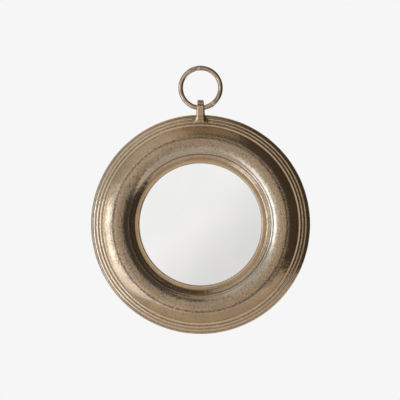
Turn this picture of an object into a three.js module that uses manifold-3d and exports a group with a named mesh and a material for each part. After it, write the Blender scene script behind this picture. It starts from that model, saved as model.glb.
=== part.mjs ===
// A convex butler's mirror: a domed glass in a sand-cast moulded frame, which hangs from a
// round ring that swings in a lug cast on the top of the rim.
//
// Lengths are in millimetres. Every piece is drawn facing the viewer: x is right, y is up and z is
// the height off the wall, with the centre of the disc at x = y = 0 and the wall at z = 0.
// The finished group is turned once, so that its own z points up and the glass looks along -y.

import * as THREE from 'three';
import { mergeVertices } from 'three/addons/utils/BufferGeometryUtils.js';
import Module from 'manifold-3d';

const wasm = await Module();
wasm.setup();

// Widths of the mouldings, from the edge of the glass outwards. Their sum makes the rim.
const sightRadius = 84.2;
const sightBandWidth = 5.2;
const sightStepWidth = 3.4;
const coveWidth = 3.6;
const ovoloWidth = 16.3;
const crestWidth = 4.9;
const shoulderWidth = 1.6;
const quirkWidth = 1.2;
const flankWidth = 13.6;
const beadWidth = 4.3;
const innerReedWidth = 4.5;
const outerReedWidth = 4.4;
const edgeRollWidth = 2.8;

// How far each moulding falls from its higher side to its lower one, how far the rolls stand
// above their own slopes, and the height of the rim.
const rimWallHeight = 13.9;
const edgeRollFall = 1.7;
const edgeRollCrown = 0.6;
const outerReedFall = 1.7;
const outerReedCrown = 0.75;
const innerReedFall = 1.5;
const innerReedCrown = 0.75;
const beadFall = 0.8;
const beadCrown = 1.05;
const flankFootTilt = 38;
const flankTopTilt = 17;
const quirkFall = 0.1;
const shoulderFall = 0.7;
const crestFall = 0.35;
const ovoloFall = 10.2;
const coveFall = 1.45;
const sightStepFall = 1.7;
const sightEdgeRound = 0.9;

// The back of the casting.
const castWall = 3.5;
const rimWall = 3;
const ledgeWidth = 1.5;
const sightLip = 2.4;
const seatWall = 3;
const bossSink = 1;
const hollowSetback = 1.2;

// Domed glass, its gasket and what holds it.
const glassThickness = 3;
const glassBulge = 8;
const glassOverlap = 4.4;
const gasketThickness = 1.5;
const gasketInset = 0.6;
const clipCount = 4;
const clipThickness = 1;
const clipWidth = 10;
const clipReach = 3;
const clipBossRadius = 4;
const clipScrewLength = 7;
const clipHeadRadius = 3;
const clipHeadHeight = 1.8;
const clipHeadFlat = 2.1;

// Back board and its screws.
const boardThickness = 3;
const boardScrewCount = 8;
const boardBossRadius = 4.5;
const boardScrewLength = 12;
const boardHeadRadius = 3.5;
const screwRadius = 1.5;

// Hanging ring and the lug that it swings in.
const ringRadius = 27.2;
const wireRadius = 3.25;
const brazeSwell = 0.35;
const brazeAngle = 102;
const brazeSpread = 16;
const eyeRise = 9.5;
const eyePlay = 1.3;
const eyeSlack = 2.1;
const strapThickness = 4;
const strapProud = 2.45;
const strapFaceWidth = 7.2;
const lugTopWidth = 8.4;
const lugNeckWidth = 10.8;
const lugBaseWidth = 15;
const lugFootWidth = 20.5;
const strapBevel = 1.3;
const footBevel = 2.6;
const footDrop = 1.9;
const footReach = 0.55;
const webInset = 0.4;
const webNeckRise = 2;
const webOverlap = 1;

// Clearances, and how far a drill runs past the face that it enters.
const touchGap = 0.3;
const fitGap = 0.4;
const drillRun = 1;

// Fineness of the curves: sides of what is round, and steps along each moulding.
const rimSides = 64;
const glassSides = 48;
const ringSides = 52;
const wireSides = 12;
const screwSides = 14;
const edgeRollSteps = 3;
const reedSteps = 4;
const beadSteps = 5;
const flankSteps = 5;
const shoulderSteps = 2;
const crestSteps = 2;
const ovoloSteps = 8;
const ovoloBackSteps = 4;
const flankBackSteps = 2;
const domeSteps = 5;
const eyeSteps = 6;
const loopSteps = 8;
const tabSteps = 8;

// Radii that follow from the mouldings.
const sightBandOuter = sightRadius + sightBandWidth;
const coveInner = sightBandOuter + sightStepWidth;
const ovoloInner = coveInner + coveWidth;
const crestRadius = ovoloInner + ovoloWidth;
const shoulderInner = crestRadius + crestWidth;
const quirkInner = shoulderInner + shoulderWidth;
const flankInner = quirkInner + quirkWidth;
const flankOuter = flankInner + flankWidth;
const beadOuter = flankOuter + beadWidth;
const innerReedOuter = beadOuter + innerReedWidth;
const outerReedOuter = innerReedOuter + outerReedWidth;
const rimRadius = outerReedOuter + edgeRollWidth;

// Heights that follow from them.
const outerReedFoot = rimWallHeight + edgeRollFall;
const innerReedFoot = outerReedFoot + outerReedFall;
const beadFoot = innerReedFoot + innerReedFall;
const flankFoot = beadFoot + beadFall;
const footSlope = Math.tan(THREE.MathUtils.degToRad(flankFootTilt));
const topSlope = Math.tan(THREE.MathUtils.degToRad(flankTopTilt));
const flankTop = flankFoot + (flankWidth / 2) * (footSlope + topSlope);
const quirkTop = flankTop + quirkFall;
const shoulderTop = quirkTop + shoulderFall;
const crestHeight = shoulderTop + crestFall;
const ovoloFoot = crestHeight - ovoloFall;
const coveFoot = ovoloFoot - coveFall;
const sightHeight = coveFoot - sightStepFall;
const lipBack = sightHeight - sightLip;
const seatRoof = coveFoot - castWall;

// Seats of the glass and of the back board.
const glassRadius = sightRadius + glassOverlap;
const seatRadius = glassRadius + fitGap;
const seatWallOuter = seatRadius + seatWall;
const glassEdgeFront = lipBack - touchGap - gasketThickness;
const domeRadius = (glassRadius ** 2 + glassBulge ** 2) / (2 * glassBulge);
const domeCentre = glassEdgeFront + glassBulge - domeRadius;
const glassEdgeBack = domeCentre + Math.sqrt((domeRadius - glassThickness) ** 2 - glassRadius ** 2);
const clipFront = glassEdgeBack - touchGap;
const clipBack = clipFront - clipThickness;
const clipScrewCircle = seatWallOuter + clipBossRadius - bossSink;
const boardRadius = rimRadius - rimWall - touchGap;
const ledgeHeight = boardThickness + touchGap;
const rimInner = rimRadius - rimWall - ledgeWidth;
const boardScrewCircle = rimInner - boardBossRadius + bossSink;
const pilotRadius = screwRadius + touchGap;

// Lug and ring.
const strapFront = flankFoot + beadCrown + strapProud - footDrop / 2;
const wireHeight = strapFront - strapThickness - eyePlay - wireRadius;
const eyeRadius = wireRadius + eyePlay;
const loopRadius = eyeRadius + strapThickness;
const wireLevel = rimRadius + eyeRise;
const ringSag = ringRadius - Math.sqrt(ringRadius ** 2 - (lugNeckWidth / 2) ** 2);
const slotBottom = wireLevel - wireRadius - ringSag - touchGap + eyeRadius;
const slotTop = slotBottom + eyeSlack;
const footLevel = beadOuter - footReach;

// A point of a profile: its distance from the axis and its height off the wall.
const at = (radius, height) => new THREE.Vector2(radius, height);

// The points of a profile curve after its first one, which the moulding before it ends on.
const along = (curve, steps) => curve.getPoints(steps).slice(1);

// A roll, which swells by its crown above the slope between its two sides.
function rollCurve(outer, foot, width, fall, crown) {
  const bend = at(outer - width / 2, foot + fall / 2 + 2 * crown);
  return new THREE.QuadraticBezierCurve(at(outer, foot), bend, at(outer - width, foot + fall));
}

// Moves a profile curve into the metal by the thickness of the wall.
function insideOf(curve, steps) {
  const inside = [];
  for (let step = 0; step <= steps; step += 1) {
    const point = curve.getPoint(step / steps);
    const tangent = curve.getTangent(step / steps);
    inside.push(at(point.x - tangent.y * castWall, point.y + tangent.x * castWall));
  }
  return inside;
}

// The convex outer flank, steepest at the bead and easier towards the quirk.
function flankCurve() {
  const bend = at(flankInner + flankWidth / 2, flankTop - (flankWidth / 2) * topSlope);
  return new THREE.QuadraticBezierCurve(at(flankOuter, flankFoot), bend, at(flankInner, flankTop));
}

// The shoulder, a soft step up from the quirk.
function shoulderCurve() {
  const middle = (quirkInner + shoulderInner) / 2;
  return new THREE.CubicBezierCurve(
    at(quirkInner, quirkTop), at(middle, quirkTop), at(middle, shoulderTop),
    at(shoulderInner, shoulderTop));
}

// The gentle outer side of the crest.
function crestCurve() {
  const bend = at((shoulderInner + crestRadius) / 2, crestHeight);
  return new THREE.QuadraticBezierCurve(
    at(shoulderInner, shoulderTop), bend, at(crestRadius, crestHeight));
}

// The ovolo, a quarter ellipse that falls from the crest to the cove.
function ovoloCurve() {
  return new THREE.EllipseCurve(crestRadius, ovoloFoot, ovoloWidth, ovoloFall, Math.PI / 2, Math.PI);
}

// The face of the casting, from the wall round the rim and in to the edge of the glass.
function faceProfile() {
  const edgeRoll = rollCurve(rimRadius, rimWallHeight, edgeRollWidth, edgeRollFall, edgeRollCrown);
  const outerReed = rollCurve(
    outerReedOuter, outerReedFoot, outerReedWidth, outerReedFall, outerReedCrown);
  const innerReed = rollCurve(
    innerReedOuter, innerReedFoot, innerReedWidth, innerReedFall, innerReedCrown);
  const bead = rollCurve(beadOuter, beadFoot, beadWidth, beadFall, beadCrown);
  return [
    at(rimRadius, 0),
    at(rimRadius, rimWallHeight),
    ...along(edgeRoll, edgeRollSteps),
    ...along(outerReed, reedSteps),
    ...along(innerReed, reedSteps),
    ...along(bead, beadSteps),
    ...along(flankCurve(), flankSteps),
    at(quirkInner, quirkTop),
    ...along(shoulderCurve(), shoulderSteps),
    ...along(crestCurve(), crestSteps),
    ...along(ovoloCurve(), ovoloSteps),
    at(coveInner, coveFoot),
    at(sightBandOuter, sightHeight),
    at(sightRadius + sightEdgeRound, sightHeight),
    at(sightRadius, sightHeight - sightEdgeRound),
  ];
}

// The back of the casting: glass seat, hollow behind the mouldings and ledge for the board.
function backProfile() {
  return [
    at(sightRadius, lipBack),
    at(seatRadius, lipBack),
    at(seatRadius, glassEdgeBack),
    at(seatWallOuter, glassEdgeBack),
    at(seatWallOuter, seatRoof),
    at(ovoloInner + castWall, seatRoof),
    ...insideOf(ovoloCurve(), ovoloBackSteps).reverse(),
    ...insideOf(flankCurve(), flankBackSteps).reverse(),
    at(flankOuter - hollowSetback, beadFoot - castWall),
    at(rimInner, rimWallHeight - castWall),
    at(rimInner, ledgeHeight),
    at(rimRadius - rimWall, ledgeHeight),
    at(rimRadius - rimWall, 0),
    at(rimRadius, 0),
  ];
}

// Turns a profile round the axis of the disc.
function revolved(profile, sides) {
  return new THREE.LatheGeometry(profile, sides).rotateX(Math.PI / 2);
}

// Keeps only the positions of a geometry, with shared corners merged and slivers left out.
function welded(geometry) {
  const bare = geometry.clone();
  bare.deleteAttribute('normal');
  bare.deleteAttribute('uv');
  const merged = mergeVertices(bare, 1e-4);
  const corners = merged.index.array;
  const kept = [];
  for (let i = 0; i < corners.length; i += 3) {
    const [a, b, c] = [corners[i], corners[i + 1], corners[i + 2]];
    if (a !== b && b !== c && c !== a) kept.push(a, b, c);
  }
  merged.setIndex(kept);
  return merged;
}

// A geometry as a solid that can be cut and joined.
function solidOf(geometry) {
  const shell = welded(geometry);
  return new wasm.Manifold(new wasm.Mesh({
    numProp: 3,
    vertProperties: new Float32Array(shell.attributes.position.array),
    triVerts: new Uint32Array(shell.index.array),
  }));
}

// A solid back as a geometry.
function geometryOf(solid) {
  const mesh = solid.getMesh();
  const geometry = new THREE.BufferGeometry();
  geometry.setAttribute('position', new THREE.BufferAttribute(mesh.vertProperties, 3));
  geometry.setIndex(new THREE.BufferAttribute(mesh.triVerts, 1));
  geometry.computeVertexNormals();
  return geometry;
}

// A round post or hole between two heights, at a place on the disc.
function round(radius, low, high, x, y) {
  const profile = [at(0, low), at(radius, low), at(radius, high), at(0, high)];
  return solidOf(revolved(profile, screwSides).translate(x, y, 0));
}

// Places spread evenly round the disc, the first one half a step past the top.
function spread(count, radius) {
  return Array.from({ length: count }, (_, index) => {
    const angle = ((index + 0.5) / count) * 2 * Math.PI;
    return { angle, x: radius * Math.sin(angle), y: radius * Math.cos(angle) };
  });
}

// Skins a closed body over sections that have equally many points.
function lofted(sections) {
  const sides = sections[0].length;
  const corners = sections.flat().flatMap((point) => point.toArray());
  const faces = [];
  for (let row = 0; row < sections.length - 1; row += 1) {
    for (let side = 0; side < sides; side += 1) {
      const next = (side + 1) % sides;
      const [a, b] = [row * sides + side, row * sides + next];
      faces.push(a, b, a + sides, b, b + sides, a + sides);
    }
  }
  const last = (sections.length - 1) * sides;
  for (let side = 1; side < sides - 1; side += 1) {
    faces.push(0, side + 1, side);
    faces.push(last, last + side, last + side + 1);
  }
  const geometry = new THREE.BufferGeometry();
  geometry.setAttribute('position', new THREE.Float32BufferAttribute(corners, 3));
  geometry.setIndex(faces);
  return geometry;
}

// Width of the lug at a level: narrow over the eye, flaring where it runs into the rim.
function lugWidth(level) {
  const levels = [footLevel, rimRadius, wireLevel - wireRadius, slotTop + loopRadius];
  const widths = [lugFootWidth, lugBaseWidth, lugNeckWidth, lugTopWidth];
  const found = levels.findIndex((edge) => level < edge);
  const upper = found < 0 ? levels.length - 1 : Math.max(1, found);
  const span = levels[upper] - levels[upper - 1];
  const share = THREE.MathUtils.clamp((level - levels[upper - 1]) / span, 0, 1);
  return THREE.MathUtils.lerp(widths[upper - 1], widths[upper], share);
}

// The strap of the lug at one place: flat outer face, bevelled sides and a flat inner face.
function strapSection(level, height, outward, bevel, thickness = strapThickness) {
  const across = lugWidth(level) / 2;
  const corners = [
    [strapFaceWidth / 2, 0],
    [across, bevel],
    [across, thickness],
    [-across, thickness],
    [-across, bevel],
    [-strapFaceWidth / 2, 0],
  ];
  return corners.map(([x, depth]) => new THREE.Vector3(
    x, level - outward.x * depth, height - outward.y * depth));
}

// The strap, up from its foot on the bead, back over the eye and down behind the ring.
function lugStrap() {
  const forward = at(0, 1);
  const backward = at(0, -1);
  const midWall = outerReedFoot - castWall / 2;
  const foot = [
    [footLevel, footDrop, footBevel - footDrop],
    [beadOuter + innerReedWidth / 2, footDrop / 2, footBevel],
    [rimRadius - edgeRollWidth, 0, footBevel],
  ];
  const sections = foot.map(([level, drop, bevel]) => {
    const height = strapFront - drop;
    return strapSection(level, height, forward, bevel, height - midWall);
  });
  sections.push(strapSection(wireLevel - wireRadius, strapFront, forward, strapBevel));
  for (let step = 0; step <= loopSteps; step += 1) {
    const turn = (step / loopSteps) * Math.PI;
    const outward = at(Math.sin(turn), Math.cos(turn));
    const level = slotTop + outward.x * loopRadius;
    sections.push(strapSection(level, wireHeight + outward.y * loopRadius, outward, strapBevel));
  }
  const tail = rimRadius - rimWall / 2;
  sections.push(strapSection(tail, wireHeight - loopRadius, backward, strapBevel));
  return solidOf(lofted(sections));
}

// The web that closes the eye underneath and stands on the rim.
function lugWeb() {
  const top = wireLevel - wireRadius + webOverlap;
  const levels = [rimRadius - rimWall / 2, rimRadius + webNeckRise, top];
  const reach = eyeRadius + strapThickness / 2;
  const sections = levels.map((level) => {
    const across = lugWidth(level) / 2 - webInset;
    const corners = [[across, reach], [across, -reach], [-across, -reach], [-across, reach]];
    return corners.map(([x, z]) => new THREE.Vector3(x, level, wireHeight + z));
  });
  return solidOf(lofted(sections));
}

// The eye, a round-ended slot across the lug.
function lugEye() {
  const outline = new THREE.Shape();
  outline.absarc(slotTop, wireHeight, eyeRadius, -Math.PI / 2, Math.PI / 2);
  outline.absarc(slotBottom, wireHeight, eyeRadius, Math.PI / 2, 1.5 * Math.PI);
  const slot = new THREE.ExtrudeGeometry(
    outline, { depth: lugFootWidth, bevelEnabled: false, curveSegments: eyeSteps });
  slot.applyMatrix4(new THREE.Matrix4().set(0, 0, 1, 0, 1, 0, 0, 0, 0, 1, 0, 0, 0, 0, 0, 1));
  return solidOf(slot.translate(-lugFootWidth / 2, 0, 0));
}

// The casting: mouldings, glass seat, screw bosses and hanging lug in one piece of metal.
function frameCasting() {
  let casting = solidOf(revolved([...faceProfile(), ...backProfile()], rimSides));
  const clipBossRoot = seatRoof + bossSink;
  for (const { x, y } of spread(clipCount, clipScrewCircle)) {
    casting = casting.add(round(clipBossRadius, glassEdgeBack, clipBossRoot, x, y));
  }
  const boardBossRoot = outerReedFoot - bossSink;
  for (const { x, y } of spread(boardScrewCount, boardScrewCircle)) {
    casting = casting.add(round(boardBossRadius, ledgeHeight, boardBossRoot, x, y));
  }
  for (const { x, y } of spread(clipCount, clipScrewCircle)) {
    const end = clipBack + clipScrewLength;
    casting = casting.subtract(round(pilotRadius, clipBack, end, x, y));
  }
  for (const { x, y } of spread(boardScrewCount, boardScrewCircle)) {
    const end = boardScrewLength + touchGap;
    casting = casting.subtract(round(pilotRadius, boardThickness, end, x, y));
  }
  const lug = lugWeb().subtract(lugEye()).add(lugStrap());
  return geometryOf(casting.add(lug));
}

// The ring: round bar bent to a circle, a little thicker where its ends are brazed together.
function hangingRing() {
  const geometry = new THREE.TorusGeometry(ringRadius, wireRadius, wireSides, ringSides);
  const corners = geometry.attributes.position;
  for (let i = 0; i < corners.count; i += 1) {
    const corner = new THREE.Vector3().fromBufferAttribute(corners, i);
    const angle = Math.atan2(corner.y, corner.x);
    const centre = new THREE.Vector3(Math.cos(angle), Math.sin(angle), 0);
    centre.multiplyScalar(ringRadius);
    const away = (THREE.MathUtils.radToDeg(angle) - brazeAngle) / brazeSpread;
    const swell = 1 + (brazeSwell / wireRadius) * Math.exp(-away * away);
    corner.sub(centre).multiplyScalar(swell).add(centre);
    corners.setXYZ(i, corner.x, corner.y, corner.z);
  }
  return geometry.translate(0, wireLevel + ringRadius, wireHeight);
}

// Heights of a sphere about the dome's centre, from one radius to another.
function domeArc(sphere, from, to, steps) {
  return Array.from({ length: steps + 1 }, (_, step) => {
    const radius = THREE.MathUtils.lerp(from, to, step / steps);
    return at(radius, domeCentre + Math.sqrt(sphere ** 2 - radius ** 2));
  });
}

// The glass, of one thickness all over, with a ground edge.
function mirrorGlass() {
  const front = domeArc(domeRadius, glassRadius, 0, domeSteps);
  const back = domeArc(domeRadius - glassThickness, 0, glassRadius, domeSteps);
  return revolved([...back, ...front], glassSides);
}

// The gasket fills the wedge between the flat lip and the dome.
function glassGasket() {
  const inner = sightRadius + gasketInset;
  const back = domeArc(domeRadius + touchGap, inner, glassRadius, 1);
  const front = lipBack - touchGap;
  return revolved([...back, at(glassRadius, front), at(inner, front), back[0]], glassSides);
}

// A clip: a flat steel tab with round ends, bored for its screw, from the glass to past the boss.
function glassClip(angle) {
  const half = clipWidth / 2;
  const tip = glassRadius - clipReach + half;
  const outline = new THREE.Shape();
  outline.absarc(0, clipScrewCircle, half, 0, Math.PI);
  outline.absarc(0, tip, half, Math.PI, 2 * Math.PI);
  const bore = new THREE.Path().absarc(0, clipScrewCircle, pilotRadius, 0, 2 * Math.PI);
  outline.holes.push(bore);
  const tab = new THREE.ExtrudeGeometry(
    outline, { depth: clipThickness, bevelEnabled: false, curveSegments: tabSteps });
  return tab.translate(0, 0, clipBack).rotateZ(-angle);
}

// The pan-head screw of a clip, its head to the wall and its tip in the boss.
function clipScrew() {
  const seat = clipBack - touchGap;
  const top = seat - clipHeadHeight;
  const tip = seat + clipScrewLength;
  return revolved([
    at(0, top),
    at(clipHeadFlat, top),
    at(clipHeadRadius, top + clipHeadHeight / 2),
    at(clipHeadRadius, seat),
    at(screwRadius, seat),
    at(screwRadius, tip - screwRadius),
    at(0, tip),
  ], screwSides);
}

// The countersunk screw of the board, its head flush with the board's back.
function boardScrew() {
  const coneEnd = boardHeadRadius - screwRadius;
  return revolved([
    at(0, 0),
    at(boardHeadRadius - touchGap, 0),
    at(screwRadius, coneEnd),
    at(screwRadius, boardScrewLength - 2 * screwRadius),
    at(0, boardScrewLength),
  ], screwSides);
}

// The board: a round panel with countersunk holes.
function backBoard() {
  const disc = [at(0, 0), at(boardRadius, 0), at(boardRadius, boardThickness), at(0, boardThickness)];
  let board = solidOf(revolved(disc, rimSides));
  const coneEnd = boardHeadRadius - screwRadius;
  const bore = [
    at(0, -drillRun),
    at(boardHeadRadius, -drillRun),
    at(boardHeadRadius, 0),
    at(pilotRadius, coneEnd),
    at(pilotRadius, boardThickness + drillRun),
    at(0, boardThickness + drillRun),
  ];
  for (const { x, y } of spread(boardScrewCount, boardScrewCircle)) {
    board = board.subtract(solidOf(revolved(bore, screwSides).translate(x, y, 0)));
  }
  return geometryOf(board);
}

// Finishes.
const castBrass = () => new THREE.MeshStandardMaterial(
  { color: 0x9c8260, roughness: 0.38, metalness: 1 });
const ringBrass = () => new THREE.MeshStandardMaterial(
  { color: 0x937a5b, roughness: 0.32, metalness: 1 });
const silveredGlass = () => new THREE.MeshStandardMaterial(
  { color: 0xe9ebec, roughness: 0.03, metalness: 1 });
const greyFelt = () => new THREE.MeshStandardMaterial(
  { color: 0x4a4743, roughness: 0.95, metalness: 0 });
const springSteel = () => new THREE.MeshStandardMaterial(
  { color: 0x8d8f90, roughness: 0.35, metalness: 1 });
const zincSteel = () => new THREE.MeshStandardMaterial(
  { color: 0xa9a79c, roughness: 0.3, metalness: 1 });
const brownBoard = () => new THREE.MeshStandardMaterial(
  { color: 0x8b6f4e, roughness: 0.85, metalness: 0 });

const mirror = new THREE.Group();

function place(name, geometry, material) {
  const mesh = new THREE.Mesh(geometry, material);
  mesh.name = name;
  mirror.add(mesh);
  return mesh;
}

place('frame_casting', frameCasting(), castBrass());
place('hanging_ring', hangingRing(), ringBrass());
place('mirror_glass', mirrorGlass(), silveredGlass());
place('glass_gasket', glassGasket(), greyFelt());
spread(clipCount, clipScrewCircle).forEach(({ angle, x, y }, index) => {
  place(`glass_clip_${index + 1}`, glassClip(angle), springSteel());
  place(`clip_screw_${index + 1}`, clipScrew(), zincSteel()).position.set(x, y, 0);
});
place('back_board', backBoard(), brownBoard());
spread(boardScrewCount, boardScrewCircle).forEach(({ x, y }, index) => {
  place(`board_screw_${index + 1}`, boardScrew(), zincSteel()).position.set(x, y, 0);
});

mirror.rotation.x = Math.PI / 2;

export default mirror;
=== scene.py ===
# A convex butler's mirror: domed glass in a sand-cast moulded brass frame that hangs from a ring.
# Pieces are drawn in millimetres facing the viewer (x right, y up, z off the wall), and turned
# into the frame's metres when they are finished.
import math

import bpy
import numpy as np
from mathutils import Matrix, Vector, noise


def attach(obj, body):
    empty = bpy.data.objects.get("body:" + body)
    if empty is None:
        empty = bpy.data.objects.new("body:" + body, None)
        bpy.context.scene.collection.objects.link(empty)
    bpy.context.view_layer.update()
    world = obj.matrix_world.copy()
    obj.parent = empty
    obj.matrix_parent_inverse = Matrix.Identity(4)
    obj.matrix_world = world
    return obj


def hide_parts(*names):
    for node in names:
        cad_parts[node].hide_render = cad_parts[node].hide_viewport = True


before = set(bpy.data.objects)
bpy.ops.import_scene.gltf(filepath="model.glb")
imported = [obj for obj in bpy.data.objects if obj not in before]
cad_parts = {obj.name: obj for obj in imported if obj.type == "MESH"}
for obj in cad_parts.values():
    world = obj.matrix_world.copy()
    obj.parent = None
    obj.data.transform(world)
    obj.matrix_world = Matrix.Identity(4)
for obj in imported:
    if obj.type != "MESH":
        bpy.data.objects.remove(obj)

scene = bpy.context.scene
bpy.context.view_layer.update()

millimetre = 0.001
drawnToFrame = Matrix(((1, 0, 0, 0), (0, 0, -1, 0), (0, 1, 0, 0), (0, 0, 0, 1)))
drawnToFrame = Matrix.Scale(millimetre, 4) @ drawnToFrame


def newPiece(name, points, faces):
    mesh = bpy.data.meshes.new(name)
    mesh.from_pydata(np.asarray(points, float).tolist(), [], faces)
    piece = bpy.data.objects.new(name, mesh)
    scene.collection.objects.link(piece)
    return piece


def discard(piece):
    mesh = piece.data
    bpy.data.objects.remove(piece)
    bpy.data.meshes.remove(mesh)


def applyModifiers(piece):
    graph = bpy.context.evaluated_depsgraph_get()
    made = bpy.data.meshes.new_from_object(piece.evaluated_get(graph))
    old = piece.data
    piece.modifiers.clear()
    piece.data = made
    made.name = piece.name
    bpy.data.meshes.remove(old)


def combined(piece, tool, operation):
    change = piece.modifiers.new("combine", "BOOLEAN")
    change.operation = operation
    change.solver = "MANIFOLD"
    change.object = tool
    applyModifiers(piece)
    discard(tool)
    return piece


def lathe(name, profile, angles):
    # turns a profile of (radius, height) round the axis; radius 0 makes a pole, otherwise it closes
    points, rows = [], []
    for radius, height in profile:
        if radius < 1e-6:
            rows.append([len(points)])
            points.append((0.0, 0.0, height))
        else:
            rows.append(list(range(len(points), len(points) + len(angles))))
            points.extend((radius * math.sin(a), radius * math.cos(a), height) for a in angles)
    if len(rows[0]) > 1:
        rows.append(rows[0])
    faces = []
    for lower, upper in zip(rows, rows[1:]):
        for j in range(len(angles)):
            k = (j + 1) % len(angles)
            corners = [
                lower[j % len(lower)], upper[j % len(upper)],
                upper[k % len(upper)], lower[k % len(lower)]]
            corners = list(dict.fromkeys(corners))
            if len(corners) > 2:
                faces.append(corners)
    return newPiece(name, points, faces)


def evenAngles(sides):
    return [2 * math.pi * j / sides for j in range(sides)]


def aroundCircle(count, radius):
    # the angle and place of each of several things that stand evenly on a circle
    angles = [(i + 0.5) / count * 2 * math.pi for i in range(count)]
    return [(angle, radius * math.sin(angle), radius * math.cos(angle)) for angle in angles]


def lofted(name, sections):
    sides = len(sections[0])
    points = [p for section in sections for p in section]
    faces = []
    for row in range(len(sections) - 1):
        for side in range(sides):
            a, b = row * sides + side, row * sides + (side + 1) % sides
            faces.append([a, b, b + sides, a + sides])
    last = (len(sections) - 1) * sides
    faces.append(list(reversed(range(sides))))
    faces.append(list(range(last, last + sides)))
    return newPiece(name, points, faces)


def places(mesh):
    out = np.empty(len(mesh.vertices) * 3)
    mesh.vertices.foreach_get("co", out)
    return out.reshape(-1, 3)


def directions(mesh):
    out = np.empty(len(mesh.vertices) * 3, np.float32)
    mesh.vertex_normals.foreach_get("vector", out)
    return out.reshape(-1, 3).astype(float)


def relaxed(mesh, points, rounds, share=0.5):
    # moves each point towards the mean of its neighbours
    ends = np.empty(len(mesh.edges) * 2, np.int64)
    mesh.edges.foreach_get("vertices", ends)
    a, b = ends.reshape(-1, 2).T
    size = len(mesh.vertices)
    near = np.maximum(np.bincount(a, minlength=size) + np.bincount(b, minlength=size), 1)
    share = np.broadcast_to(share, size)[:, None]
    for _ in range(rounds):
        mean = np.column_stack([
            np.bincount(a, points[b, axis], size) + np.bincount(b, points[a, axis], size)
            for axis in range(3)]) / near[:, None]
        points = points + (mean - points) * share
    return points


def evened(mesh, values, rounds):
    return relaxed(mesh, np.column_stack((values, values, values)), rounds)[:, 0]


def sunken(mesh, points, rounds):
    # how far each point lies below the smoothed surface: more than 0 in a recess, less on an edge
    return ((relaxed(mesh, points, rounds) - points) * directions(mesh)).sum(1)


def move(mesh, points):
    mesh.vertices.foreach_set("co", points.astype(np.float32).ravel())
    mesh.update()


def store(mesh, name, values):
    made = mesh.attributes.new(name, "FLOAT", "POINT")
    made.data.foreach_set("value", np.asarray(values, np.float32))


def roughSkin(mesh, layers, share):
    # pushes the surface in and out by layers of (wavelength, height)
    points, out = places(mesh), directions(mesh)
    push = np.zeros(len(points))
    for number, (wave, height) in enumerate(layers):
        offset = Vector((7.3 * number, 3.1, 5.7))  # each layer reads its own part of the noise
        push += height * np.array([noise.noise(Vector(p) / wave + offset) for p in points])
    move(mesh, points + out * (push * share)[:, None])


def finished(piece, material, body, replaced, sharp=None):
    piece.data.transform(drawnToFrame)
    piece.data.shade_smooth()
    if sharp:
        piece.data.set_sharp_from_angle(angle=math.radians(sharp))
    piece.data.materials.clear()
    piece.data.materials.append(material)
    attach(piece, body)
    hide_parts(*replaced)
    return piece


def feed(tree, socket, value):
    # links a socket's output, and sets anything else as a value
    if isinstance(value, bpy.types.NodeSocket):
        tree.links.new(value, socket)
    else:
        socket.default_value = value


def put(tree, kind, sockets=None, **settings):
    made = tree.nodes.new("ShaderNode" + kind)
    for key, value in settings.items():
        setattr(made, key, value)
    for key, value in (sockets or {}).items():
        feed(tree, made.inputs[key], value)
    return made


def calc(tree, operation, *values):
    made = put(tree, "Math", operation=operation)
    for socket, value in zip(made.inputs, values):
        feed(tree, socket, value)
    return made.outputs[0]


def times(tree, first, second):
    return calc(tree, "MULTIPLY", first, second)


def largest(tree, first, *others):
    for other in others:
        first = calc(tree, "MAXIMUM", first, other)
    return first


def hypotenuse(tree, first, second):
    squares = (calc(tree, "POWER", side, 2.0) for side in (first, second))
    return calc(tree, "SQRT", calc(tree, "ADD", *squares))


def ranged(tree, value, low, high, toLow=0.0, toHigh=1.0, kind="SMOOTHSTEP"):
    sockets = {"Value": value, "From Min": low, "From Max": high, "To Min": toLow, "To Max": toHigh}
    return put(tree, "MapRange", sockets, interpolation_type=kind).outputs["Result"]


def between(tree, value, rise, fall):
    # 0, then up to 1 over the first range, and down to 0 again over the second
    return times(tree, ranged(tree, value, *rise), ranged(tree, value, *fall, 1.0, 0.0))


def blended(tree, factor, first, second):
    made = put(tree, "Mix", data_type="RGBA")
    for name, value in (("Factor_Float", factor), ("A_Color", first), ("B_Color", second)):
        feed(tree, next(s for s in made.inputs if s.identifier == name), value)
    return next(s for s in made.outputs if s.identifier == "Result_Color")


def newGroup(name, inputs, outputs):
    group = bpy.data.node_groups.new(name, "ShaderNodeTree")
    for label, value in inputs.items():
        socket = group.interface.new_socket(label, in_out="INPUT", socket_type="NodeSocketFloat")
        socket.default_value = value
    for label in outputs:
        group.interface.new_socket(label, in_out="OUTPUT", socket_type="NodeSocketFloat")
    return group, group.nodes.new("NodeGroupInput").outputs, group.nodes.new("NodeGroupOutput").inputs


def placed(tree, group, **values):
    made = tree.nodes.new("ShaderNodeGroup")
    made.node_tree = group
    for label, value in values.items():
        feed(tree, made.inputs[label], value)
    return made.outputs


def objectPlace(tree):
    return put(tree, "TexCoord").outputs["Object"]


def objectAxes(tree):
    return put(tree, "SeparateXYZ", {"Vector": objectPlace(tree)}).outputs


def objectNoise(tree, scale, detail=3.0, roughness=0.55, stretch=None):
    where = objectPlace(tree)
    if stretch:
        where = put(tree, "Mapping", {"Vector": where, "Scale": stretch}).outputs[0]
    sockets = {"Vector": where, "Scale": scale, "Detail": detail, "Roughness": roughness}
    return put(tree, "TexNoise", sockets).outputs[0]


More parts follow.
